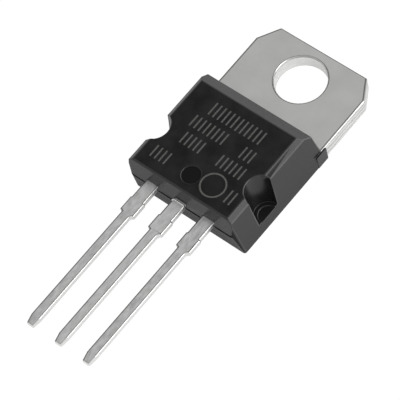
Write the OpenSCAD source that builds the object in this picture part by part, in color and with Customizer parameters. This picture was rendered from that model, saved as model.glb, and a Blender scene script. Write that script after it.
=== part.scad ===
// Three-lead linear voltage regulator in a moulded power package with a bolt-down
// metal tab. The part lies on its back. The origin is the centre of the mounting
// hole on the back face, X runs across the part, Y points to the far end of the
// tab, the leads run towards -Y, and Z comes out of the front face.

/* [Metal tab] */
// Width of the tab
tab_w = 9.87; // [9.4:0.01:10.2]
// Thickness of the tab, which is the thick gauge of the frame strip
tab_t = 1.27; // [1.1:0.01:1.4]
// Diameter of the mounting hole
hole_d = 3.9; // [3.5:0.05:4.1]
// Centre of the mounting hole to the far edge of the tab
hole_to_edge = 2.71; // [2.5:0.01:3.1]
// Length of each cut corner, measured across the tab
corner_cut_x = 1.0; // [0.5:0.02:1.4]
// Length of each cut corner, measured along the tab
corner_cut_y = 1.64; // [0.8:0.02:2.2]
// Rounding that the punch leaves on the upper rim of the hole
rim_roll = 0.08; // [0.03:0.01:0.15]

/* [Moulding] */
// How far the moulding stands out past each side of the tab, at the back face
side_cover = 0.085; // [0.05:0.005:0.3]
// Height of the moulding, back face to front face
body_h = 4.42; // [4.2:0.01:4.8]
// Length of the moulding, tab side to lead side, at its parting plane
body_len = 9.38; // [8.8:0.02:10.0]
// Centre of the mounting hole to the moulding, at the tab's front surface
hole_to_body = 3.92; // [3.5:0.02:4.2]
// Draft of the long sides, in degrees
side_draft = 5.1; // [3:0.1:8]
// Draft of the tab-side end, in degrees
heel_draft = 8.5; // [6:0.5:15]
// Draft of the lead-side end above the leads, in degrees
nose_draft_up = 8.5; // [2:0.5:10]
// Draft of the lead-side end below the leads, in degrees
nose_draft_down = 9; // [4:0.5:10]
// Width of the bevel along the two long upper edges
edge_bevel_w = 0.38; // [0.1:0.01:0.6]
// Height of the bevel along the two long upper edges
edge_bevel_h = 0.33; // [0.1:0.01:0.5]
// Length of the slope along the tab-side upper edge
heel_slope_len = 1.0; // [0.5:0.02:1.4]
// Fall of the slope along the tab-side upper edge
heel_slope_drop = 0.86; // [0.4:0.02:1.1]
// Fine bevel along the lead-side upper edge
nose_bevel = 0.1; // [0.04:0.01:0.2]
// Cut on the two lead-side corners, measured at the parting plane
corner_trim = 0.3; // [0.05:0.01:0.5]
// Length of the two lugs that grip the sides of the tab
lug_len = 0.45; // [0.2:0.01:0.6]
// Thickness of each lug outside the tab
lug_t = 0.12; // [0.06:0.01:0.2]
// Depth of the step under the parting line of the lead-side end
parting_depth = 0.13; // [0.05:0.01:0.2]
// Height of the step under the parting line
parting_h = 0.2; // [0.1:0.01:0.3]

/* [Side notches] */
// Lead-side end of the moulding to the middle of the notches
nose_to_notch = 3.38; // [2.7:0.01:3.6]
// Radius of a notch at the front face
notch_r_top = 1.24; // [1.1:0.01:1.4]
// Radius of a notch at its floor
notch_r_floor = 1.02; // [0.8:0.01:1.05]
// Height of the notch floor above the back face
notch_floor = 1.13; // [0.8:0.01:1.2]
// Distance of a notch's axis inside the moulding's widest line
notch_inset = 0.16; // [0:0.01:0.2]
// Radius of the clamp-pin mark in the notch floor
pin_mark_r = 0.72; // [0.4:0.01:0.76]
// Depth of the clamp-pin mark
pin_mark_depth = 0.08; // [0.04:0.01:0.15]

/* [Ejector mark] */
// Lead-side end of the moulding to the ejector mark on the front face
nose_to_mark = 1.65; // [1.2:0.01:2.2]
// Radius of the ejector mark
mark_r = 0.74; // [0.5:0.01:0.9]
// Depth of the ejector mark
mark_depth = 0.07; // [0.03:0.01:0.15]

/* [Leads] */
// Distance between the centre lines of neighbouring leads
lead_pitch = 2.54; // [2.4:0.01:2.7]
// Thickness of the leads, which is the thin gauge of the frame strip
lead_t = 0.46; // [0.4:0.01:0.6]
// Back face of the tab to the back surface of the leads
lead_z = 2.58; // [2.4:0.01:2.7]
// Width of the slim part of a lead
lead_w = 0.78; // [0.6:0.01:0.9]
// Width of a lead where it leaves the moulding
shoulder_w = 1.1; // [1.0:0.01:1.3]
// Width over the cut stubs of the tie bar
stub_w = 1.24; // [1.14:0.01:1.5]
// Moulding to the near end of the stubs
stub_start = 1.52; // [1.2:0.01:2.0]
// Moulding to the far end of the stubs
stub_end = 2.76; // [2.5:0.01:3.4]
// Radius of the stamped corner between stub and slim lead
lead_fillet = 0.3; // [0.1:0.01:0.5]
// Moulding to the tip of the leads
lead_len = 13.24; // [12.7:0.01:14.2]
// Length of the tapered tip
tip_len = 0.7; // [0.3:0.05:1.2]
// Width of the tip at its end
tip_w = 0.58; // [0.45:0.01:0.6]
// Thickness of the tip at its end
tip_t = 0.3; // [0.2:0.01:0.38]

/* [Frame inside the moulding] */
// Moulding left between a side notch and the lip of the chip paddle
notch_wall = 0.18; // [0.15:0.01:0.4]
// Lead-side end of the moulding to the end of the paddle
nose_to_paddle = 3.11; // [3.0:0.01:3.3]
// Full-width length of the tab inside the moulding
tab_grip = 0.5; // [0.3:0.05:0.8]
// Overhang of the coined lip round the paddle
lip_out = 0.2; // [0.1:0.01:0.25]
// Thickness of the coined lip
lip_t = 0.55; // [0.3:0.01:0.7]
// Depth of the moisture groove across the paddle
groove_depth = 0.2; // [0.1:0.01:0.3]
// Width of the bonding post at the inner end of an outer lead
post_w = 2.0; // [1.6:0.05:2.2]
// Length of the bonding post
post_len = 1.15; // [0.9:0.05:1.4]
// Lead-side end of the moulding to the inner end of a bonding post
nose_to_post = 2.5; // [2.3:0.02:2.6]
// Diameter of the locking hole in an outer lead
lock_d = 0.5; // [0.3:0.05:0.6]
// Lead-side end of the moulding to the bend of the middle lead
nose_to_bend = 1.5; // [1.2:0.05:1.7]

/* [Chip and wires] */
// Width of the silicon chip
chip_w = 2.3; // [1.8:0.05:2.8]
// Length of the silicon chip
chip_len = 2.1; // [1.8:0.05:2.6]
// Thickness of the silicon chip
chip_t = 0.28; // [0.2:0.01:0.4]
// Paddle end to the near edge of the chip
chip_from_end = 1.55; // [1.4:0.05:2.0]
// Thickness of the solder under the chip
solder_t = 0.05; // [0.03:0.01:0.1]
// Solder squeezed out round the chip
solder_rim = 0.12; // [0.05:0.01:0.2]
// Diameter of the bond wires
wire_d = 0.2; // [0.12:0.01:0.25]
// Rise of a bond wire over the straight line between its feet
wire_rise = 0.55; // [0.4:0.05:0.6]
// Length of the flattened foot at each end of a wire
foot_len = 0.5; // [0.4:0.05:0.6]
// Height of the flattened foot
foot_h = 0.1; // [0.06:0.01:0.14]

/* [Hidden] */
$fn = 48;

// A cutter starts or ends this far outside what it cuts
past = 1;

// Places along Y
tab_y = hole_to_edge;
heel_y = -hole_to_body;
nose_y = heel_y - body_len;
notch_y = nose_y + nose_to_notch;
tip_y = nose_y - lead_len;
paddle_y = nose_y + nose_to_paddle;
post_y = nose_y + nose_to_post;
bend_y = nose_y + nose_to_bend;
lead_top = lead_z + lead_t;

// Section of the moulding across the part
side_x0 = tab_w / 2 + side_cover;
side_x1 = side_x0 - (body_h - edge_bevel_h) * tan(side_draft);
// Section of the moulding along the part
heel_slope_z = body_h - heel_slope_drop;
heel_slope_y = heel_y - (heel_slope_z - tab_t) * tan(heel_draft);
nose_top_y = nose_y + (body_h - lead_z) * tan(nose_draft_up);
nose_base_y = nose_y + lead_z * tan(nose_draft_down);
notch_x = side_x0 - notch_inset;
lug_x = tab_w / 2 + lug_t;
lip_x = notch_x - notch_r_floor - notch_wall;
paddle_x = lip_x - lip_out;
part_x = side_x0 - lead_z * tan(side_draft);

// Chip stack
solder_z = tab_t;
chip_z = solder_z + solder_t;
chip_top = chip_z + chip_t;
chip_y = paddle_y + chip_from_end + chip_len / 2;

// Feet of the wires: on the chip, and on the frame
foot_inset = 0.3 * foot_len + wire_d;
chip_foot_x = chip_w / 2 - foot_inset;
chip_foot_y = chip_y - chip_len / 2 + foot_inset;
post_foot_y = post_y - foot_len * 0.7;
ground_foot_y = paddle_y + foot_len * 0.8;

module tab_outline() {
    half = tab_w / 2;
    polygon([
        [-half, heel_y - tab_grip], [half, heel_y - tab_grip],
        [half, tab_y - corner_cut_y], [half - corner_cut_x, tab_y],
        [corner_cut_x - half, tab_y], [-half, tab_y - corner_cut_y]
    ]);
}

// The paddle is stepped: the coined lip at its upper surface is wider than the
// pad that shows in the back face, so the moulding can't let go of it.
module paddle() {
    start_y = heel_y - tab_grip / 2;
    translate([-paddle_x, paddle_y + lip_out, 0])
        cube([2 * paddle_x, start_y - paddle_y - lip_out, tab_t]);
    translate([-lip_x, paddle_y, tab_t - lip_t])
        cube([2 * lip_x, start_y - paddle_y, lip_t]);
}

// The groove that keeps moisture out lies just inside the moulding, and the
// moulding fills it, so the open face of the tab ends where the moulding starts.
module moisture_groove() {
    half = tab_w / 2 + past;
    translate([-half, heel_y - groove_depth, tab_t])
        rotate([90, 0, 90])
            linear_extrude(2 * half)
                polygon([[-groove_depth, 0], [0, -groove_depth], [groove_depth, 0],
                    [groove_depth, past], [-groove_depth, past]]);
}

module mounting_hole() {
    translate([0, 0, -past])
        cylinder(d = hole_d, h = tab_t + 2 * past);
    translate([0, 0, tab_t - rim_roll])
        cylinder(d1 = hole_d, d2 = hole_d + 4 * rim_roll, h = 2 * rim_roll);
}

// Outline of the part of a lead that shows, centred on its own line. One side has
// the stamped corner, and the other has the step that the trimming tool leaves.
module lead_outline() {
    near_y = nose_y - stub_start;
    far_y = nose_y - stub_end;
    tip_start = tip_y + tip_len;
    slim = lead_w / 2;
    stub = stub_w / 2;
    root_y = nose_y + past;
    difference() {
        polygon([
            [-shoulder_w / 2, root_y], [-shoulder_w / 2, near_y],
            [-stub, near_y - (stub_w - shoulder_w) / 2], [-stub, far_y],
            [-slim, far_y - lead_w / 10], [-slim, tip_start], [-tip_w / 2, tip_y],
            [tip_w / 2, tip_y], [slim, tip_start], [slim, far_y - lead_fillet],
            [slim + lead_fillet, far_y - lead_fillet], [slim + lead_fillet, far_y],
            [stub, far_y], [stub, near_y - (stub_w - shoulder_w) / 2],
            [shoulder_w / 2, near_y], [shoulder_w / 2, root_y]
        ]);
        translate([slim + lead_fillet, far_y - lead_fillet])
            circle(r = lead_fillet);
    }
}

// A lead from outside the moulding to its tip, thinned towards the tip.
module outer_lead() {
    half = stub_w / 2 + lead_fillet;
    intersection() {
        translate([0, 0, lead_z])
            linear_extrude(lead_t)
                lead_outline();
        translate([-half, 0, 0])
            rotate([90, 0, 90])
                linear_extrude(2 * half)
                    polygon([
                        [nose_y + past, lead_z], [nose_y + past, lead_top],
                        [tip_y + tip_len, lead_top], [tip_y, lead_z + tip_t],
                        [tip_y, lead_z]
                    ]);
    }
}

// An outer lead with the bonding post at its inner end.
module side_lead(x) {
    translate([x, 0, 0]) {
        difference() {
            union() {
                outer_lead();
                translate([-shoulder_w / 2, nose_y, lead_z])
                    cube([shoulder_w, nose_to_post - post_len / 2, lead_t]);
                translate([-post_w / 2, post_y - post_len, lead_z])
                    cube([post_w, post_len, lead_t]);
            }
            translate([0, nose_y + lock_d * 1.6, lead_z - past])
                cylinder(d = lock_d, h = lead_t + 2 * past);
        }
    }
}

// The middle lead bends down inside the moulding and runs into the paddle.
module middle_lead() {
    outer_lead();
    run = (lead_top - tab_t) * 0.65;
    ramp = lead_t * 0.42;
    translate([-shoulder_w / 2, 0, 0])
        rotate([90, 0, 90])
            linear_extrude(shoulder_w)
                polygon([
                    [nose_y, lead_top], [bend_y, lead_top],
                    [bend_y + run, tab_t], [paddle_y + lip_out, tab_t],
                    [paddle_y + lip_out, tab_t - lead_t],
                    [bend_y + run - ramp, tab_t - lead_t],
                    [bend_y - ramp, lead_z], [nose_y, lead_z]
                ]);
}

// A bond wire is one arc in an upright plane, with a flattened foot at each end.
// a and b are the points on the two surfaces where the feet lie.
module bond_wire(a, b) {
    flat = norm([b.x - a.x, b.y - a.y]);
    turn = atan2(b.y - a.y, b.x - a.x);
    lift = foot_h / 2;
    chord = norm([flat, b.z - a.z]);
    tilt = atan2(b.z - a.z, flat);
    bend = (chord * chord / 4 + wire_rise * wire_rise) / (2 * wire_rise);
    half_angle = asin(chord / 2 / bend);
    translate(a)
        rotate([0, 0, turn]) {
            difference() {
                translate([flat / 2, 0, lift + (b.z - a.z) / 2])
                    rotate([90, -tilt, 0])
                        translate([0, wire_rise - bend, 0])
                            rotate([0, 0, 90 - half_angle])
                                rotate_extrude(angle = 2 * half_angle)
                                    translate([bend, 0])
                                        circle(d = wire_d);
                translate([-past, -wire_d, -past])
                    cube([past + foot_len, 2 * wire_d, past]);
                translate([flat - foot_len, -wire_d, b.z - a.z - past])
                    cube([past + foot_len, 2 * wire_d, past]);
            }
            wire_foot(0, 0);
            wire_foot(flat, b.z - a.z);
        }
}

module wire_foot(along, up) {
    translate([along - foot_len / 2, -wire_d * 0.65, up])
        cube([foot_len, wire_d * 1.3, foot_h]);
}

// Plan of the moulding, wide enough to leave its drafted sides alone: only the two
// corners at the leads are cut off.
module mould_plan() {
    half = side_x0 + past;
    polygon([
        [-half, tab_y], [-half, nose_y + corner_trim + half - part_x],
        [corner_trim + past - part_x, nose_y - past],
        [part_x - corner_trim - past, nose_y - past],
        [half, nose_y + corner_trim + half - part_x], [half, tab_y]
    ]);
}

// The moulding before the notches: two drafted sections that cross each other.
module mould_block() {
    intersection() {
        linear_extrude(body_h)
            mould_plan();
        translate([0, tab_y, 0])
            rotate([90, 0, 0])
                linear_extrude(tab_y - nose_y + past)
                    polygon([
                        [-side_x0, 0], [side_x0, 0], [side_x1, body_h - edge_bevel_h],
                        [side_x1 - edge_bevel_w, body_h], [edge_bevel_w - side_x1, body_h],
                        [-side_x1, body_h - edge_bevel_h]
                    ]);
        translate([-side_x0 - past, 0, 0])
            rotate([90, 0, 90])
                linear_extrude(2 * (side_x0 + past))
                    polygon([
                        [heel_y, 0], [heel_y, tab_t], [heel_slope_y, heel_slope_z],
                        [heel_slope_y - heel_slope_len, body_h],
                        [nose_top_y + nose_bevel, body_h],
                        [nose_top_y, body_h - nose_bevel],
                        [nose_y, lead_z], [nose_base_y, 0]
                    ]);
    }
}

// A lug closes over the side of the tab, from behind the gripped length to a
// little way out along the tab.
module lug(side) {
    x0 = side > 0 ? tab_w / 2 - past / 2 : -lug_x;
    back_y = heel_y - tab_grip - lug_t;
    translate([x0, back_y, 0])
        cube([past / 2 + lug_t, heel_y + lug_len - back_y, tab_t]);
}

module side_notch(side) {
    flare = (notch_r_top - notch_r_floor) / (body_h - notch_floor);
    translate([side * notch_x, notch_y, 0]) {
        translate([0, 0, notch_floor])
            cylinder(r1 = notch_r_floor, r2 = notch_r_top + flare * past,
                h = body_h - notch_floor + past);
        translate([0, 0, notch_floor - pin_mark_depth])
            cylinder(r = pin_mark_r, h = pin_mark_depth + past);
    }
}

module ejector_mark() {
    translate([0, nose_y + nose_to_mark, body_h - mark_depth])
        cylinder(r = mark_r, h = mark_depth + past);
}

// The lower mould half is slightly smaller than the upper one, which leaves a
// fine step below the leads, right across the part.
module parting_step() {
    half = side_x0 + past;
    translate([-half, 0, 0])
        rotate([90, 0, 90])
            linear_extrude(2 * half)
                polygon([
                    [nose_y - past, lead_z], [nose_y + parting_depth, lead_z],
                    [nose_y + parting_depth, lead_z - parting_h / 2],
                    [nose_y + parting_h * tan(nose_draft_down), lead_z - parting_h],
                    [nose_y - past, lead_z - parting_h]
                ]);
}

module embedded() {
    heat_sink_frame();
    input_lead();
    output_lead();
    die_attach_solder();
    silicon_die();
    input_bond_wire();
    output_bond_wire();
    ground_bond_wire();
}

module mould_body() {
    color([0.11, 0.11, 0.11])
        difference() {
            union() {
                mould_block();
                lug(1);
                lug(-1);
            }
            side_notch(1);
            side_notch(-1);
            ejector_mark();
            parting_step();
            embedded();
        }
}

module heat_sink_frame() {
    color([0.66, 0.66, 0.65])
        difference() {
            union() {
                linear_extrude(tab_t)
                    tab_outline();
                paddle();
                middle_lead();
            }
            mounting_hole();
            moisture_groove();
        }
}

module input_lead() {
    color([0.7, 0.7, 0.69])
        side_lead(-lead_pitch);
}

module output_lead() {
    color([0.7, 0.7, 0.69])
        side_lead(lead_pitch);
}

module die_attach_solder() {
    color([0.55, 0.56, 0.58])
        translate([-chip_w / 2 - solder_rim, chip_y - chip_len / 2 - solder_rim, solder_z])
            cube([chip_w + 2 * solder_rim, chip_len + 2 * solder_rim, solder_t]);
}

module silicon_die() {
    color([0.32, 0.34, 0.4])
        translate([-chip_w / 2, chip_y - chip_len / 2, chip_z])
            cube([chip_w, chip_len, chip_t]);
}

module input_bond_wire() {
    color([0.85, 0.85, 0.86])
        bond_wire([-chip_foot_x, chip_foot_y, chip_top], [-lead_pitch, post_foot_y, lead_top]);
}

module output_bond_wire() {
    color([0.85, 0.85, 0.86])
        bond_wire([chip_foot_x, chip_foot_y, chip_top], [lead_pitch, post_foot_y, lead_top]);
}

module ground_bond_wire() {
    color([0.85, 0.85, 0.86])
        bond_wire([0, chip_foot_y, chip_top], [0, ground_foot_y, tab_t]);
}

mould_body();
heat_sink_frame();
input_lead();
output_lead();
die_attach_solder();
silicon_die();
input_bond_wire();
output_bond_wire();
ground_bond_wire();
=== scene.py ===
import math

import bmesh
import bpy
import numpy as np
from mathutils import Matrix, Vector, bvhtree


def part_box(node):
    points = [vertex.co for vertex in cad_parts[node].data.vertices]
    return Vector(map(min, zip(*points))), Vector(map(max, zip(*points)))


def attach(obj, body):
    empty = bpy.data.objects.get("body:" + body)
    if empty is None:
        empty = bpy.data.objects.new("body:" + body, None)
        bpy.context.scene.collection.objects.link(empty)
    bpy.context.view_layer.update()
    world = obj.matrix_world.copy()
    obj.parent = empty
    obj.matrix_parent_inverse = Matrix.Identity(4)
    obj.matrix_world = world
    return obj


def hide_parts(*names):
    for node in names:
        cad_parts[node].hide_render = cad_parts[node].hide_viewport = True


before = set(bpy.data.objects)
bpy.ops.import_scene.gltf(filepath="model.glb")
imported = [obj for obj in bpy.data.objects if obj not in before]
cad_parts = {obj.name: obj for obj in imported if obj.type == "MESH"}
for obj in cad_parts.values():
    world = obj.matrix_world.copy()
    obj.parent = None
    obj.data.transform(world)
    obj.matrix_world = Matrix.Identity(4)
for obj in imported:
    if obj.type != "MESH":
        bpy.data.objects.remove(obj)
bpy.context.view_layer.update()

# Camera. It looks at the part from its lead end and right side, from well above,
# through a long lens, and is turned a little about its own line of sight.
camera_place = (0.0800779, -0.0686329, 0.1625399)
camera_azimuth = math.radians(54.537)
camera_height = math.radians(58.708)
camera_roll = math.radians(17.699)
camera_lens = 243.0
camera_sensor = 36.0
camera_nearest = 0.01


def camera_axes(azimuth, height, roll):
    """Right, up and back axes of a camera. Back points from the subject to the camera:
    it lies at the height angle above the floor, and at the azimuth from -Y towards +X.
    Right is level, and the roll then turns right and up about back."""
    back = Vector((math.sin(azimuth) * math.cos(height),
                   -math.cos(azimuth) * math.cos(height), math.sin(height)))
    level = Vector((0, 0, 1)).cross(back).normalized()
    above = back.cross(level)
    right = level * math.cos(roll) - above * math.sin(roll)
    return right, back.cross(right), back


camera_data = bpy.data.cameras.new("camera")
camera_data.lens = camera_lens
camera_data.sensor_width = camera_sensor
camera_data.clip_start = camera_nearest
camera = bpy.data.objects.new("camera", camera_data)
camera.matrix_world = (
    Matrix.Translation(camera_place)
    @ Matrix(camera_axes(camera_azimuth, camera_height, camera_roll)).transposed().to_4x4()
)
bpy.context.scene.collection.objects.link(camera)
bpy.context.scene.camera = camera
bpy.context.scene.view_settings.view_transform = "Standard"


# Floor and light. A white table that stays white to the camera and in reflections,
# and keeps a faint shadow. The room is bright at table height and dimmer overhead, and
# a wide softbox stands low on the right.
MM = 0.001
floor_drop = 0.01 * MM
floor_reach = 1.5
floor_white = (0.97, 0.97, 0.97, 1)
floor_glow = 1.05
glow_seen = 0.94
glow_mirrored = 0.35
room_low = 1.0
room_high = 0.6
room_dims_from = 0.05
room_dims_to = 0.75
softbox_way = Vector((0.79, 0.30, 0.54)).normalized()
softbox_aim = Vector((0, -8 * MM, 0))
softbox_far = 160 * MM
softbox_side = 110 * MM
softbox_power = 0.085


def tree_of(holder):
    """The node tree of a material or world, emptied."""
    holder.use_nodes = True
    holder.node_tree.nodes.clear()
    return holder.node_tree


def add_node(tree, kind, **values):
    """A node of that kind. A value named like a property sets it. Any other value goes
    to the input of that name, with spaces for underscores, and in_N to input number N."""
    node = tree.nodes.new(kind)
    for name, value in values.items():
        if name.startswith("in_"):
            target = node.inputs[int(name[3:])]
        elif hasattr(node, name):
            setattr(node, name, value)
            continue
        else:
            target = node.inputs[name.replace("_", " ")]
        if isinstance(value, bpy.types.NodeSocket):
            tree.links.new(value, target)
        else:
            target.default_value = value
    return node


def math_node(tree, operation, *values, clamp=False):
    """The output of a Math node over sockets or numbers."""
    numbered = {f"in_{i}": value for i, value in enumerate(values)}
    return add_node(tree, "ShaderNodeMath", operation=operation, use_clamp=clamp,
                    **numbered).outputs[0]


floor_mesh = bpy.data.meshes.new("floor")
floor_plan = np.array([(-1, -1), (1, -1), (1, 1), (-1, 1)]) * floor_reach
floor_corners = np.column_stack([floor_plan, np.full(4, -floor_drop)])
floor_mesh.from_pydata(floor_corners.tolist(), [], [(0, 1, 2, 3)])
floor = bpy.data.objects.new("floor", floor_mesh)
bpy.context.scene.collection.objects.link(floor)

table_white = bpy.data.materials.new("table_white")
tree = tree_of(table_white)
ray = add_node(tree, "ShaderNodeLightPath")
mirrored = math_node(tree, "MAXIMUM", ray.outputs["Is Glossy Ray"],
                     ray.outputs["Is Transmission Ray"])
share = math_node(tree, "MULTIPLY", ray.outputs["Is Camera Ray"], glow_seen)
share = math_node(tree, "MULTIPLY_ADD", mirrored, glow_mirrored, share)
matt = add_node(tree, "ShaderNodeBsdfDiffuse", Color=floor_white)
glow = add_node(tree, "ShaderNodeEmission", Color=(1, 1, 1, 1), Strength=floor_glow)
surface = add_node(tree, "ShaderNodeMixShader", in_0=share, in_1=matt.outputs[0],
                   in_2=glow.outputs[0])
add_node(tree, "ShaderNodeOutputMaterial", Surface=surface.outputs[0])
floor_mesh.materials.append(table_white)

studio = bpy.data.worlds.new("studio")
bpy.context.scene.world = studio
tree = tree_of(studio)
way = add_node(tree, "ShaderNodeTexCoord")
split = add_node(tree, "ShaderNodeSeparateXYZ", Vector=way.outputs["Generated"])
rise = add_node(tree, "ShaderNodeMapRange", interpolation_type="SMOOTHSTEP",
                Value=split.outputs["Z"], From_Min=room_dims_from, From_Max=room_dims_to,
                To_Min=room_low, To_Max=room_high)
ray = add_node(tree, "ShaderNodeLightPath")
room = add_node(tree, "ShaderNodeBackground", Strength=rise.outputs["Result"])
plain = add_node(tree, "ShaderNodeBackground", Strength=1.0)
surface = add_node(tree, "ShaderNodeMixShader", in_0=ray.outputs["Is Camera Ray"],
                   in_1=room.outputs[0], in_2=plain.outputs[0])
add_node(tree, "ShaderNodeOutputWorld", Surface=surface.outputs[0])

softbox_data = bpy.data.lights.new("softbox", "AREA")
softbox_data.size = softbox_side
softbox_data.energy = softbox_power
softbox = bpy.data.objects.new("softbox", softbox_data)
softbox.location = softbox_way * softbox_far + softbox_aim
softbox.rotation_euler = softbox_way.to_track_quat("Z", "Y").to_euler()
bpy.context.scene.collection.objects.link(softbox)


# Moulding. Black filled epoxy, pressed in one shot into a two-part steel mould round the
# frame, the chip and the pins. The front face has the fine spark-eroded texture of the
# mould, and the drafted sides come out smoother.
mould_low, mould_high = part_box("mould_body")
front_z = mould_high.z
nose_y = mould_low.y
parting_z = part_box("input_lead")[0].z
mark_reach = 0.2 * MM
face_reach = 0.02 * MM
# A band of painted shade along the parting line of the lead-side end, for the shade under the
# upper half of the mould: how far it reaches from the nose, and its height below and above the
# parting line.
step_reach = 0.3 * MM
shade_below_parting = 0.19 * MM
shade_above_parting = 0.1 * MM
mould_edge = 0.07 * MM
mould_weld = 0.01 * MM
touching = 0.001 * MM
upward = 0.97
leadward = -0.9
mould_black = (0.0108, 0.0108, 0.0114)
# Painted highlight on the rounded edges of the moulding: a rim black lighter than the moulding,
# and a lighter grey where a rim faces towards the softbox.
rim_highlight_black = (0.025, 0.025, 0.025)
rim_highlight_grey = (0.13, 0.13, 0.13)
rim_highlight_way = (0.8, 0.6, 0.35)

# Marks that a laser leaves on the front face. Each row is its first stroke's place,
# its height and how many strokes it has, in mm, and the ring has a centre and a radius.
mark_rows = ((-2.1, -7.2, 1.1, 12), (-2.65, -8.65, 1.0, 8), (1.9, -8.75, 1.0, 3),
             (-2.35, -10.1, 1.0, 5), (0.95, -10.15, 1.0, 6), (-3.4, -12.1, 1.0, 4),
             (3.25, -12.1, 1.1, 2))
mark_pitch = 0.40
mark_stroke = 0.13
mark_ring = (1.82, -11.46, 0.93)
mark_grey = (0.17, 0.17, 0.16)


def mix_colour(tree, share, first, second):
    """First where the share is 0, second where it is 1. Both are colours or sockets."""
    mixer = add_node(tree, "ShaderNodeMix", data_type="RGBA", in_0=share)
    for number, value in ((6, first), (7, second)):
        if isinstance(value, bpy.types.NodeSocket):
            tree.links.new(value, mixer.inputs[number])
        else:
            mixer.inputs[number].default_value = (*value, 1)
    return mixer.outputs[2]


def ramp(tree, value, low, high):
    """0 where the value is at low, 1 where it is at high, straight in between."""
    return math_node(tree, "MULTIPLY_ADD", value, 1 / (high - low), -low / (high - low),
                     clamp=True)


def tone(colour, factor):
    """The colour, lighter or darker by that factor, and no lighter than white."""
    return [min(1.0, part * factor) for part in colour]


def group_tree(name, inputs, outputs):
    """A new shader group, and its two end nodes. Inputs are (name, kind, value) and
    outputs (name, kind), where the kind is Float, Color or Vector."""
    tree = bpy.data.node_groups.new(name, "ShaderNodeTree")
    for socket_name, kind, value in inputs:
        tree.interface.new_socket(socket_name, in_out="INPUT",
                                  socket_type=f"NodeSocket{kind}").default_value = value
    for socket_name, kind in outputs:
        tree.interface.new_socket(socket_name, in_out="OUTPUT", socket_type=f"NodeSocket{kind}")
    return tree, tree.nodes.new("NodeGroupInput"), tree.nodes.new("NodeGroupOutput")


def add_group(tree, group, **values):
    """A shared effect placed in a material, with its own values."""
    return add_node(tree, "ShaderNodeGroup", node_tree=group, **values)


# A fine grain, which resin and tin plate share: a height for bumps, and clouds from 0 to 1.
fine_grain, start, end = group_tree(
    "fine_grain",
    [("Stretch", "Vector", (1, 1, 1)), ("Fine", "Float", 9000.0), ("Coarse", "Float", 900.0)],
    [("Height", "Float"), ("Clouds", "Float")])
place = add_node(fine_grain, "ShaderNodeTexCoord")
scaled = add_node(fine_grain, "ShaderNodeVectorMath", operation="MULTIPLY",
                  in_0=place.outputs["Object"], in_1=start.outputs["Stretch"])
fine = add_node(fine_grain, "ShaderNodeTexNoise", Vector=scaled.outputs[0],
                Scale=start.outputs["Fine"], Detail=3.0, Roughness=0.6)
coarse = add_node(fine_grain, "ShaderNodeTexNoise", Vector=scaled.outputs[0],
                  Scale=start.outputs["Coarse"], Detail=4.0, Roughness=0.55)
fine_grain.links.new(fine.outputs["Fac"], end.inputs["Height"])
fine_grain.links.new(coarse.outputs["Fac"], end.inputs["Clouds"])


def row_mask(tree, x, y, left, base, height, count):
    """1 inside a row of upright strokes: x is inside the row, its distance to the
    nearest stroke line is under half a stroke, and y is inside the row's height."""
    right = left + (count - 1) * mark_pitch
    from_left = math_node(tree, "SUBTRACT", x, (left - mark_pitch / 2) * MM)
    cycle = math_node(tree, "PINGPONG", math_node(tree, "DIVIDE", from_left, mark_pitch * MM), 0.5)
    stroke = math_node(tree, "GREATER_THAN", cycle, 0.5 - mark_stroke / mark_pitch / 2)
    for value, operation, bound in (
            (x, "GREATER_THAN", left - mark_stroke), (x, "LESS_THAN", right + mark_stroke),
            (y, "GREATER_THAN", base), (y, "LESS_THAN", base + height)):
        stroke = math_node(tree, "MULTIPLY", stroke, math_node(tree, operation, value, bound * MM))
    return stroke


def ring_mask(tree, x, y, centre_x, centre_y, radius):
    """1 on a ring: the distance from its centre is within half a stroke of the radius."""
    across = math_node(tree, "SUBTRACT", x, centre_x * MM)
    along = math_node(tree, "SUBTRACT", y, centre_y * MM)
    square = math_node(tree, "MULTIPLY_ADD", across, across,
                       math_node(tree, "MULTIPLY", along, along))
    return math_node(tree, "COMPARE", math_node(tree, "SQRT", square), radius * MM,
                     mark_stroke / 2 * MM)


def mould_face_material():
    """The matt front face: grain, faint clouds, and the laser marks, broken by the grain."""
    material = bpy.data.materials.new("mould_front")
    tree = tree_of(material)
    grain = add_group(tree, fine_grain, Fine=14000.0, Coarse=700.0)
    place = add_node(tree, "ShaderNodeTexCoord")
    split = add_node(tree, "ShaderNodeSeparateXYZ", Vector=place.outputs["Object"])
    x, y = split.outputs["X"], split.outputs["Y"]
    marks = ring_mask(tree, x, y, *mark_ring)
    for row in mark_rows:
        marks = math_node(tree, "MAXIMUM", marks, row_mask(tree, x, y, *row))
    burnt = ramp(tree, grain.outputs["Height"], 0.16, 0.615)
    clouds = ramp(tree, grain.outputs["Clouds"], 0.29, 0.71)
    cloudy = mix_colour(tree, clouds, tone(mould_black, 0.4), tone(mould_black, 1.9))
    colour = mix_colour(tree, math_node(tree, "MULTIPLY", marks, burnt), cloudy, mark_grey)
    bump = add_node(tree, "ShaderNodeBump", Strength=0.5, Distance=0.006 * MM,
                    Height=grain.outputs["Height"])
    shader = add_node(tree, "ShaderNodeBsdfPrincipled", Base_Color=colour, Roughness=0.55,
                      Specular_IOR_Level=0.2, Normal=bump.outputs[0])
    add_node(tree, "ShaderNodeOutputMaterial", Surface=shader.outputs[0])
    return material


def painted_rim_highlight(tree, colour):
    """Painted highlight: a lighter grey where an edge faces towards the softbox, by the dot
    product of its normal with that way."""
    face = add_node(tree, "ShaderNodeNewGeometry")
    toward = add_node(tree, "ShaderNodeVectorMath", operation="DOT_PRODUCT",
                      in_0=face.outputs["Normal"], in_1=rim_highlight_way)
    return mix_colour(tree, ramp(tree, toward.outputs["Value"], 0.65, 0.9), colour, rim_highlight_grey)


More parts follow.
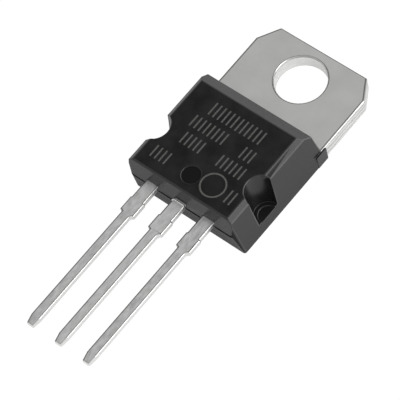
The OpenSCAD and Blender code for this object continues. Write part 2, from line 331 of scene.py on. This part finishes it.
def mould_side_material(name, black, rough, shine=0.5, effect=None):
    """The smoother drafted sides, which mirror the white table at a flat angle."""
    material = bpy.data.materials.new(name)
    tree = tree_of(material)
    grain = add_group(tree, fine_grain, Fine=6000.0, Coarse=500.0)
    colour = mix_colour(tree, grain.outputs["Clouds"], tone(black, 0.8), tone(black, 1.3))
    if effect:
        colour = effect(tree, colour)
    roughness = math_node(tree, "MULTIPLY_ADD", grain.outputs["Clouds"], 0.16, rough)
    bump = add_node(tree, "ShaderNodeBump", Strength=0.35, Distance=0.003 * MM,
                    Height=grain.outputs["Height"])
    shader = add_node(tree, "ShaderNodeBsdfPrincipled", Base_Color=colour, Roughness=roughness,
                      Specular_IOR_Level=shine, Normal=bump.outputs[0])
    add_node(tree, "ShaderNodeOutputMaterial", Surface=shader.outputs[0])
    return material


def flat_solid(node, weld):
    """A bmesh of a node's solid, with its loose triangles joined at their corners and
    those that lie in one plane joined into one face."""
    solid = bmesh.new()
    solid.from_mesh(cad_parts[node].data)
    bmesh.ops.remove_doubles(solid, verts=solid.verts, dist=weld)
    bmesh.ops.dissolve_limit(solid, angle_limit=math.radians(0.5), verts=solid.verts,
                             edges=solid.edges, delimit={"NORMAL"})
    return solid


def drop_slivers(solid):
    """Draws in each thin sliver. At its tip two faces fold back by more than 150 degrees:
    that edge goes to the next corners, and so on until no tip is left."""
    fold = math.radians(150)
    tips = [edge for edge in solid.edges if edge.calc_face_angle(0) > fold]
    while tips:
        tip = tips[0]
        roots = {corner: min((edge for edge in corner.link_edges if edge != tip),
                             key=bmesh.types.BMEdge.calc_length).other_vert(corner)
                 for corner in tip.verts}
        bmesh.ops.weld_verts(solid, targetmap=roots)
        tips = [edge for edge in solid.edges if edge.calc_face_angle(0) > fold]


def rounding_share(edge, width):
    """1, or less where a face beside the edge is too narrow for that width: 0.4 of the
    face's reach square to the edge, over the width."""
    start, end = (corner.co for corner in edge.verts)
    along = (end - start).normalized()
    reaches = [max(along.cross(corner.co - start).length for corner in face.verts)
               for face in edge.link_faces]
    return min(1.0, 0.4 * min(reaches) / width)


def rounded_piece(name, node, width, weld, share_of, finish_of, materials, cut=None):
    """The piece shown for a node: its solid, with each edge where two faces meet at more
    than 20 degrees turned into an arc of that width, times the lower share_of(face) beside
    it. finish_of(centre, normal) numbers the material of a face, and the last material is
    that of the arcs. cut(solid) may divide faces first."""
    solid = flat_solid(node, weld)
    drop_slivers(solid)
    if cut:
        cut(solid)
    sharp = math.radians(20)
    weight = solid.edges.layers.float.new("bevel_weight_edge")
    for edge in solid.edges:
        if len(edge.link_faces) == 2 and edge.calc_face_angle(0) > sharp:
            allowed = min(share_of(face) for face in edge.link_faces)
            edge[weight] = min(allowed, rounding_share(edge, width))
    for face in solid.faces:
        face.material_index = finish_of(face.calc_center_median(), face.normal)
        face.smooth = len(face.verts) <= 4
    mesh = bpy.data.meshes.new(name)
    solid.to_mesh(mesh)
    solid.free()
    for material in materials:
        mesh.materials.append(material)
    mesh.set_sharp_from_angle(angle=sharp)
    piece = bpy.data.objects.new(name, mesh)
    bpy.context.scene.collection.objects.link(piece)
    bevel = piece.modifiers.new("edge", "BEVEL")
    bevel.limit_method = "WEIGHT"
    bevel.width = width
    bevel.segments = 3
    bevel.profile = 0.65
    bevel.harden_normals = True
    bevel.use_clamp_overlap = False
    bevel.material = len(materials) - 1
    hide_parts(node)
    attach(piece, "root")


def outer_test(inner_nodes):
    """outer(face) for the moulding: false where a face lies on an embedded piece."""
    searches = []
    for node in inner_nodes:
        solid = flat_solid(node, touching / 10)
        searches.append(bvhtree.BVHTree.FromBMesh(solid))
        solid.free()

    def outer(face):
        centre = face.calc_center_median()
        hits = (search.find_nearest(centre, touching) for search in searches)
        return all(hit[0] is None for hit in hits)
    return outer


def cut_shade_band(solid):
    """Divides the lead-side end a little above the parting line, where the band of painted
    shade along the parting line begins."""
    ends = [face for face in solid.faces if face.calc_center_median().y < nose_y + step_reach
            and face.normal.y < leadward and face.calc_center_median().z > parting_z]
    parts = {item for face in ends for item in (face, *face.edges, *face.verts)}
    bmesh.ops.bisect_plane(solid, geom=list(parts), dist=touching,
                           plane_co=(0, 0, parting_z + shade_above_parting), plane_no=(0, 0, 1))


def mould_finish(centre, normal):
    """0 for the front face, 2 for the floor of the ejector mark, 3 for a band of painted shade
    at the parting line of the lead-side end, 4 for that end below it, and 1 for the rest."""
    if normal.z > upward and centre.z > front_z - mark_reach:
        return 0 if centre.z > front_z - face_reach else 2
    below = parting_z - centre.z
    if centre.y > nose_y + step_reach or below < -shade_above_parting:
        return 1
    return 3 if below < shade_below_parting else 4


outer = outer_test([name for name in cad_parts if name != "mould_body"])


def mould_share(face):
    """How much of the rounding a face of the moulding takes: none on the band of painted shade
    at the parting line or against an embedded piece, less on the floors of the small round marks."""
    centre = face.calc_center_median()
    if mould_finish(centre, face.normal) == 3 or not outer(face):
        return 0.0
    return 0.4 if face.normal.z > upward and centre.z < front_z - face_reach else 1.0


rounded_piece(
    "moulding", "mould_body", mould_edge, mould_weld,
    share_of=mould_share, finish_of=mould_finish, cut=cut_shade_band,
    materials=(mould_face_material(),
               mould_side_material("mould_side", mould_black, rough=0.16),
               mould_side_material("mould_disc", tone(mould_black, 0.45), rough=0.3, shine=0.15),
               # The parting band: a far darker black with almost no shine, painted shade.
               mould_side_material("mould_step_painted_shade", tone(mould_black, 0.2), rough=0.5, shine=0.03),
               mould_side_material("mould_low", mould_black, rough=0.3, shine=0.1),
               # Rounded edges: a lighter black, and a lighter grey towards the softbox, both
               # painted highlight.
               mould_side_material("mould_rim", rim_highlight_black, rough=0.28, effect=painted_rim_highlight)))


# Tab and ground lead. One piece of the stamped frame, of copper rolled in two thicknesses
# and tin plated, with its paddle pressed into the moulding. Its flat faces are matt and its
# sheared walls brighter, and the punch rolled the rims, which carry painted shade where
# they face away from the camera.
tin_flat = (0.79, 0.79, 0.775)
tin_wall = (0.92, 0.92, 0.91)
tin_torn = (0.66, 0.66, 0.65)
# Painted shade on the rolled rims that face away from the camera.
tin_painted_shade = (0.24, 0.24, 0.235)
tin_middle = (0.95, 0.95, 0.94)
# The camera's way along the table: rims that face it keep the tin's colour.
camera_level_way = (0.8, -0.6, 0.0)
torn_height = 0.4 * MM
torn_wander = 0.45 * MM
bore_reach = 2.2 * MM
flat_from = 0.8
frame_edge = 0.16 * MM
lead_edge = 0.12 * MM
frame_weld = 0.001 * MM

# A rolled rim: darkened with painted shade, but kept in its colour where it faces the
# camera's way along the table, by the dot product of its normal with that way, and on
# upright corners, which face level.
rim_painted_shade, start, end = group_tree(
    "rim_painted_shade", [("Colour", "Color", (1, 1, 1, 1)), ("Shade", "Color", (*tin_painted_shade, 1))],
    [("Colour", "Color")])
face = add_node(rim_painted_shade, "ShaderNodeNewGeometry")
toward = add_node(rim_painted_shade, "ShaderNodeVectorMath", operation="DOT_PRODUCT",
                  in_0=face.outputs["Normal"], in_1=camera_level_way)
facing_camera = ramp(rim_painted_shade, toward.outputs["Value"], 0.1, 0.35)
split = add_node(rim_painted_shade, "ShaderNodeSeparateXYZ", Vector=face.outputs["Normal"])
upright = ramp(rim_painted_shade, math_node(rim_painted_shade, "ABSOLUTE", split.outputs["Z"]), 0.3, 0.05)
share = math_node(rim_painted_shade, "MAXIMUM", facing_camera, upright)
rim_shade_colour = mix_colour(rim_painted_shade, share, start.outputs["Shade"], start.outputs["Colour"])
rim_painted_shade.links.new(rim_shade_colour, end.inputs["Colour"])

# The sheared walls of the thick tab: burnished and torn bands by height, with edges that
# wander, as a triangle wave of the height plus a coarse noise. The thin lead has none.
torn_bands, start, end = group_tree(
    "torn_bands", [("Colour", "Color", (1, 1, 1, 1)), ("Torn", "Color", (*tin_torn, 1))],
    [("Colour", "Color")])
place = add_node(torn_bands, "ShaderNodeTexCoord")
split = add_node(torn_bands, "ShaderNodeSeparateXYZ", Vector=place.outputs["Object"])
wander = add_node(torn_bands, "ShaderNodeTexNoise", Vector=place.outputs["Object"],
                  Scale=700.0, Detail=3.0)
height = math_node(torn_bands, "MULTIPLY_ADD", wander.outputs["Fac"], torn_wander,
                   split.outputs["Z"])
wave = math_node(torn_bands, "PINGPONG", math_node(torn_bands, "DIVIDE", height, torn_height), 0.5)
thick = math_node(torn_bands, "LESS_THAN", split.outputs["Z"], parting_z)
share = math_node(torn_bands, "MULTIPLY", ramp(torn_bands, wave, 0.125, 0.375), thick)
banded = mix_colour(torn_bands, share, start.outputs["Colour"], start.outputs["Torn"])
torn_bands.links.new(banded, end.inputs["Colour"])


def tin_material(name, colour, rough, depth, stretch=(1, 0.3, 1), cloud=0.05, coarse=600.0,
                 effects=()):
    """Tin plate of that colour. Its fine grain is so deep, in mm, and drawn out along the
    stretch, and its clouds are lighter and darker by that share. Effects lie over it."""
    material = bpy.data.materials.new(name)
    tree = tree_of(material)
    grain = add_group(tree, fine_grain, Stretch=stretch, Fine=7000.0, Coarse=coarse)
    clouds = ramp(tree, grain.outputs["Clouds"], 0.25, 0.75)
    base = mix_colour(tree, clouds, tone(colour, 1 - cloud), tone(colour, 1 + cloud))
    for effect in effects:
        base = add_group(tree, effect, Colour=base).outputs["Colour"]
    roughness = math_node(tree, "MULTIPLY_ADD", grain.outputs["Clouds"], 0.12, rough - 0.06)
    bump = add_node(tree, "ShaderNodeBump", Strength=0.4, Distance=depth * MM,
                    Height=grain.outputs["Height"])
    shader = add_node(tree, "ShaderNodeBsdfPrincipled", Base_Color=base, Metallic=1.0,
                      Roughness=roughness, Normal=bump.outputs[0])
    add_node(tree, "ShaderNodeOutputMaterial", Surface=shader.outputs[0])
    return material


def lead_top_material(name, colour):
    """The coarse brushed grain on top of a lead."""
    return tin_material(name, colour, rough=0.34, depth=0.01, stretch=(1, 0.4, 1), cloud=0.24,
                        coarse=4200.0)


def frame_finish(centre, normal):
    """0 for a flat face of the tab, 1 for its sheared walls, 2 for the wall of its hole,
    and for the thinner ground lead 3 for the flat faces and 4 for the walls."""
    flat = abs(normal.z) > flat_from
    if centre.y < nose_y:
        return 3 if flat else 4
    if flat:
        return 0
    return 2 if centre.xy.length < bore_reach else 1


def frame_share(face):
    """The lead is thinner than the tab, so its edges are rounded less."""
    return lead_edge / frame_edge if face.calc_center_median().y < nose_y else 1.0


lead_wall = tin_material("lead_wall", tin_wall, rough=0.3, depth=0.004)
rounded_piece(
    "tab_and_ground_lead", "heat_sink_frame", frame_edge, frame_weld,
    share_of=frame_share, finish_of=frame_finish,
    materials=(tin_material("tin_flat", tin_flat, rough=0.38, depth=0.004, stretch=(1, 1, 1)),
               tin_material("tin_wall", tin_wall, rough=0.3, depth=0.004, stretch=(1, 1, 0.25),
                            effects=(torn_bands,)),
               tin_material("tin_bore", tin_wall, rough=0.25, depth=0.003, stretch=(1, 1, 0.25)),
               lead_top_material("middle_lead_flat", tin_middle),
               lead_wall,
               # Rims of the tab, with painted shade where they face away from the camera.
               tin_material("tab_rim", tin_wall, rough=0.35, depth=0.003,
                            effects=(torn_bands, rim_painted_shade))))


# Input and output pins. They are stamped from the thin side of the same copper strip and
# tin plated, and are held by the moulding alone. The tie bar between them was cut away last.
tin_outer = (0.82, 0.82, 0.81)


def pin_share(face):
    """Every edge of a pin is rounded in full."""
    return 1.0


def pin_finish(centre, normal):
    """0 for a flat face of a pin, and 1 for its sheared walls."""
    return 0 if abs(normal.z) > flat_from else 1


# The rims of the pins carry painted shade where they face away from the camera.
pin_materials = (lead_top_material("lead_flat", tin_outer), lead_wall,
                 tin_material("lead_rim", tin_wall, rough=0.35, depth=0.003,
                              effects=(rim_painted_shade,)))
for side_name in ("input", "output"):
    rounded_piece(f"{side_name}_pin", f"{side_name}_lead", lead_edge, frame_weld,
                  share_of=pin_share, finish_of=pin_finish, materials=pin_materials)


# Bead at the root of the ground lead. The steel of the mould shuts tight on the soft tin
# there, and leaves a bright raised line round three sides of the lead.
bead_radius = 0.06 * MM
bead_left = 0.14 * MM
bead_right = 0.5 * MM
bead_corner = 0.08 * MM
root_half = 0.5 * MM
root_y = nose_y - bead_radius
root_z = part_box("input_lead")[1].z


def level_tube(path, radius, sides=8):
    """A closed tube round a level path. Each point of the path has a ring of corners square
    to it, at the radius times (its normal times the cosine plus Z times the sine of the
    angle), and a point beyond each end closes the tube."""
    along = np.gradient(path, axis=0)
    along /= np.linalg.norm(along, axis=1, keepdims=True)
    across = along[:, [1, 0, 2]] * (1, -1, 0)
    angle = np.arange(sides)[:, None] / sides * 2 * math.pi
    circles = np.cos(angle) * across[:, None] + np.sin(angle) * (0, 0, 1)
    ends = path[[0, -1]] + radius * along[[0, -1]] * ((-1,), (1,))
    corners = np.concatenate([(path[:, None] + radius * circles).reshape(-1, 3), ends])
    ring = np.arange(len(path) - 1)[:, None] * sides
    side = np.arange(sides)
    after = (side + 1) % sides
    walls = np.stack([ring + side, ring + sides + side, ring + sides + after, ring + after],
                     axis=-1).reshape(-1, 4)
    last_ring = (len(path) - 1) * sides
    first_tip, last_tip = np.full((2, sides), len(path) * sides) + ((0,), (1,))
    first_cap = np.stack([first_tip, side, after], axis=-1)
    last_cap = np.stack([last_tip, last_ring + after, last_ring + side], axis=-1)
    return corners.tolist(), walls.tolist() + first_cap.tolist() + last_cap.tolist()


turn = np.linspace(0, math.pi / 2, 5)
left_turn = np.column_stack([-root_half + bead_corner * (1 - np.cos(turn)),
                             root_y - bead_corner * (1 - np.sin(turn))])
right_turn = left_turn[::-1] * (-1, 1)
plan = np.concatenate([[(-root_half, root_y - bead_left)], left_turn, right_turn,
                       [(root_half, root_y - bead_right)]])
bead_path = np.column_stack([plan, np.full(len(plan), root_z)])
bead_corners, bead_faces = level_tube(bead_path, bead_radius)
bead_mesh = bpy.data.meshes.new("root_bead")
bead_mesh.from_pydata(bead_corners, [], bead_faces)
bead_mesh.shade_smooth()
bead_mesh.materials.append(lead_wall)
bead = bpy.data.objects.new("root_bead", bead_mesh)
bpy.context.scene.collection.objects.link(bead)
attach(bead, "root")


# Chip, solder and wires, all sealed in the resin. The chip is polished silicon, soldered
# to the paddle, and the wires are drawn aluminium, welded at both ends. Each finish is a
# colour, a share of metal and a roughness.
wire_finish = ((0.8, 0.8, 0.81), 1.0, 0.25)
inner_finishes = {
    "die_attach_solder": ((0.5, 0.51, 0.53), 1.0, 0.45),
    "silicon_die": ((0.14, 0.15, 0.19), 0.3, 0.15),
    "input_bond_wire": wire_finish,
    "output_bond_wire": wire_finish,
    "ground_bond_wire": wire_finish,
}
for node_name, (colour, metal, rough) in inner_finishes.items():
    material = bpy.data.materials.new(node_name)
    tree = tree_of(material)
    grain = add_group(tree, fine_grain, Fine=16000.0, Coarse=2500.0)
    base = mix_colour(tree, grain.outputs["Clouds"], tone(colour, 0.85), colour)
    shader = add_node(tree, "ShaderNodeBsdfPrincipled", Base_Color=base, Metallic=metal,
                      Roughness=rough)
    add_node(tree, "ShaderNodeOutputMaterial", Surface=shader.outputs[0])
    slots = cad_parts[node_name].data.materials
    slots.clear()
    slots.append(material)
